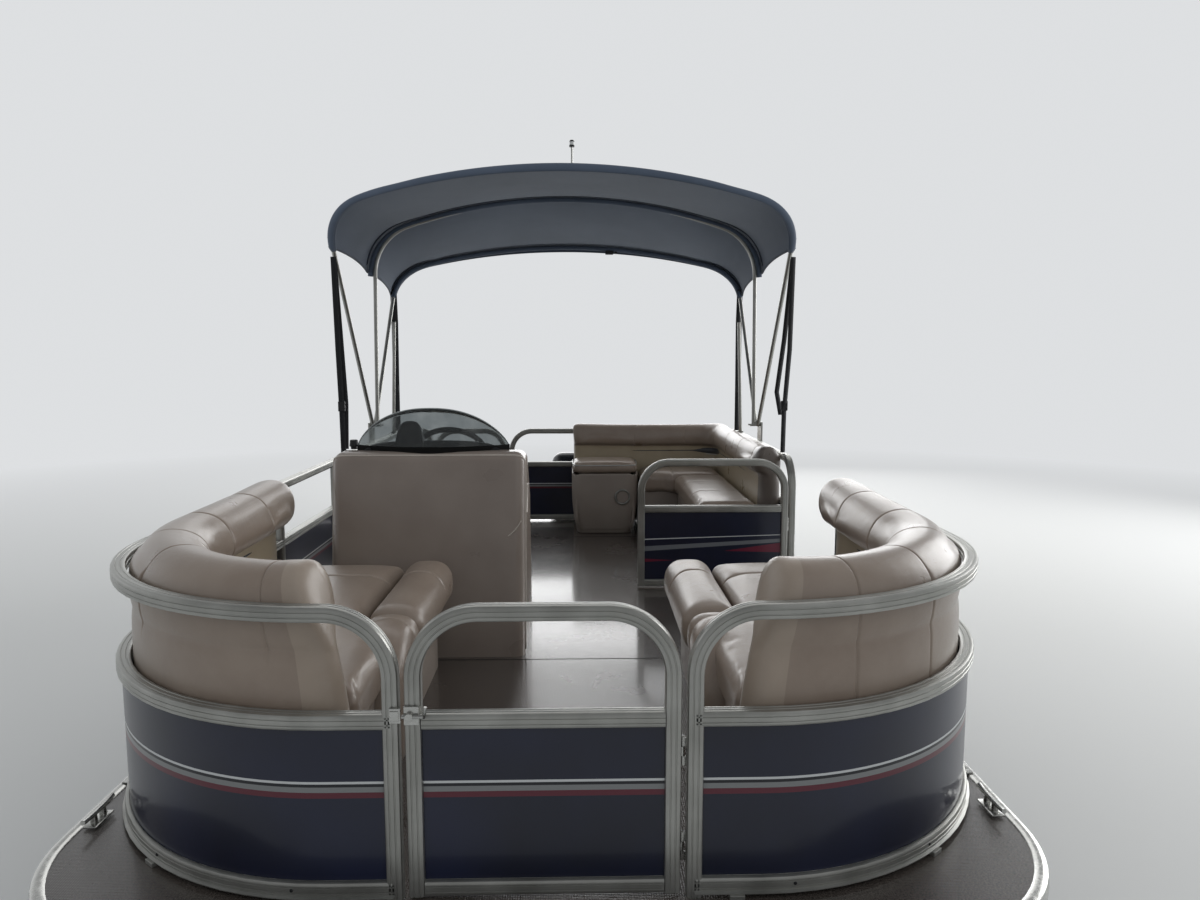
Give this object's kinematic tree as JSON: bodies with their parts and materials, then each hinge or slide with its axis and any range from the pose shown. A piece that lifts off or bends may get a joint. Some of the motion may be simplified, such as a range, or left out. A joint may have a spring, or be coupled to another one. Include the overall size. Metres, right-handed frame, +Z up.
{
  "type": "pontoon boat",
  "caption": "Pontoon boat with railed deck, hinged gates, couches, helm console, folding bimini top, boarding ladder and tilting outboard motor.",
  "frame": {"origin": "middle of the overall box in plan, on the surface that the keels stand on", "axes": "+X to port, +Y aft, +Z up; the bow faces -Y"},
  "size_m": [2.59, 6.8336, 3.4154],
  "materials": {
    "mill_aluminium": "satin",
    "deck_trim_aluminium": "brushed",
    "deck_covering": "ribbed",
    "rail_aluminium": "anodised",
    "bow_aluminium": "anodised",
    "navy_skin": "gloss",
    "taupe_vinyl": "satin",
    "moulded_base": "satin",
    "console_shell": "satin",
    "smoked_acrylic": "smoked",
    "black_plastic": "satin",
    "powder_coat": "satin",
    "navy_canvas": "woven",
    "motor_enamel": "gloss",
    "cast_block": "cast",
    "propeller_enamel": "gloss"
  },
  "bodies": {
    "boat": {"bimini_canopy": "navy_canvas", "bimini_rear_bow": "bow_aluminium", "bimini_supports": "bow_aluminium", "couch_back_port": "taupe_vinyl", "couch_back_starboard": "taupe_vinyl", "couch_base_port": "moulded_base", "couch_base_starboard": "moulded_base", "deck_cleats": "mill_aluminium", "deck_floor": "deck_covering", "deck_framing": "mill_aluminium", "deck_trim": "deck_trim_aluminium", "fence_port_bow": "rail_aluminium", "fence_port_stern": "rail_aluminium", "fence_skins": "navy_skin", "fence_starboard": "rail_aluminium", "helm_console": "console_shell", "helm_controls": "black_plastic", "helm_pedestal": "powder_coat", "ladder_brackets": "rail_aluminium", "lounge_back": "taupe_vinyl", "lounge_base": "moulded_base", "motor_clamp": "powder_coat", "motor_pod": "mill_aluminium", "pontoon_port": "mill_aluminium", "pontoon_starboard": "mill_aluminium", "windscreen": "smoked_acrylic"},
    "bow_gate": {"bow_gate_frame": "rail_aluminium", "bow_gate_skin": "navy_skin"},
    "side_gate": {"side_gate_frame": "rail_aluminium", "side_gate_skin": "navy_skin"},
    "stern_gate": {"stern_gate_frame": "rail_aluminium", "stern_gate_skin": "navy_skin"},
    "seat_port": {"couch_seat_port": "taupe_vinyl"},
    "seat_starboard": {"couch_seat_starboard": "taupe_vinyl"},
    "lounge_seat": {"lounge_seat_side": "taupe_vinyl"},
    "end_lid": {"lounge_end_lid": "taupe_vinyl"},
    "wheel": {"steering_wheel": "black_plastic"},
    "chair": {"helm_chair": "taupe_vinyl"},
    "swivel": {"motor_swivel": "powder_coat"},
    "outboard": {"motor_midsection": "motor_enamel", "motor_cowl": "motor_enamel", "motor_powerhead": "cast_block", "motor_gearcase": "motor_enamel"},
    "propeller": {"propeller": "propeller_enamel"},
    "bimini_front": {"bimini_front_bow": "bow_aluminium"},
    "bimini_mid": {"bimini_mid_bow": "bow_aluminium", "light_mast": "bow_aluminium"},
    "ladder": {"boarding_ladder": "rail_aluminium"}
  },
  "joints": [
    {"name": "bow_gate_hinge", "type": "hinge", "parent": "boat", "child": "bow_gate", "pos_m": [0.326, -2.81681, 0.778], "axis": [0, 0, 1], "range_deg": [-90, 0]},
    {"name": "side_gate_hinge", "type": "hinge", "parent": "boat", "child": "side_gate", "pos_m": [1.227, -0.13081, 0.778], "axis": [0, 0, 1], "range_deg": [0, 90]},
    {"name": "stern_gate_hinge", "type": "hinge", "parent": "boat", "child": "stern_gate", "pos_m": [-1.031, 1.73119, 0.778], "axis": [0, 0, 1], "range_deg": [-90, 0]},
    {"name": "seat_port_lid", "type": "hinge", "parent": "boat", "child": "seat_port", "pos_m": [1.102, -1.70281, 1.208], "axis": [0, 1, 0], "range_deg": [0, 50]},
    {"name": "seat_starboard_lid", "type": "hinge", "parent": "boat", "child": "seat_starboard", "pos_m": [-1.102, -1.70281, 1.208], "axis": [0, -1, 0], "range_deg": [0, 50]},
    {"name": "lounge_seat_lid", "type": "hinge", "parent": "boat", "child": "lounge_seat", "pos_m": [1.102, 0.57719, 1.208], "axis": [0, 1, 0], "range_deg": [0, 50]},
    {"name": "end_block_lid", "type": "hinge", "parent": "boat", "child": "end_lid", "pos_m": [0.265, 1.55719, 1.283], "axis": [-1, 0, 0], "range_deg": [0, 50]},
    {"name": "steering_wheel_turn", "type": "hinge", "parent": "boat", "child": "wheel", "pos_m": [-0.51, -0.76435, 1.59909], "axis": [0, 0.7372, 0.6757], "range_deg": [-450, 450]},
    {"name": "chair_turn", "type": "hinge", "parent": "boat", "child": "chair", "pos_m": [-0.56, 0.03719, 1.188], "axis": [0, 0, 1], "continuous": true},
    {"name": "motor_tilt", "type": "hinge", "parent": "boat", "child": "swivel", "pos_m": [0, 2.51219, 0.6], "axis": [1, 0, 0], "range_deg": [-60, 4]},
    {"name": "motor_steer", "type": "hinge", "parent": "swivel", "child": "outboard", "pos_m": [0, 2.57469, 0.70825], "axis": [0, -0.866, 0.5], "range_deg": [-30, 30]},
    {"name": "propeller_turn", "type": "hinge", "parent": "outboard", "child": "propeller", "pos_m": [0, 3.28761, 0.64306], "axis": [0, 0.5, 0.866], "continuous": true},
    {"name": "bimini_front_fold", "type": "hinge", "parent": "boat", "child": "bimini_front", "pos_m": [0, 0.78719, 1.593], "axis": [1, 0, 0], "range_deg": [-66, 0], "deforming": ["bimini_canopy"]},
    {"name": "bimini_mid_fold", "type": "hinge", "parent": "boat", "child": "bimini_mid", "pos_m": [0, 0.78719, 1.593], "axis": [1, 0, 0], "range_deg": [-33, 0]},
    {"name": "ladder_fold", "type": "hinge", "parent": "boat", "child": "ladder", "pos_m": [0.86, 2.49919, 0.804], "axis": [1, 0, 0], "range_deg": [-270, 0]}
  ],
  "couplings": [
    {"joint": "bimini_mid_fold", "follows": "bimini_front_fold", "ratio": 0.5},
    {"joint": "steering_wheel_turn", "follows": "motor_steer", "ratio": -15}
  ]
}
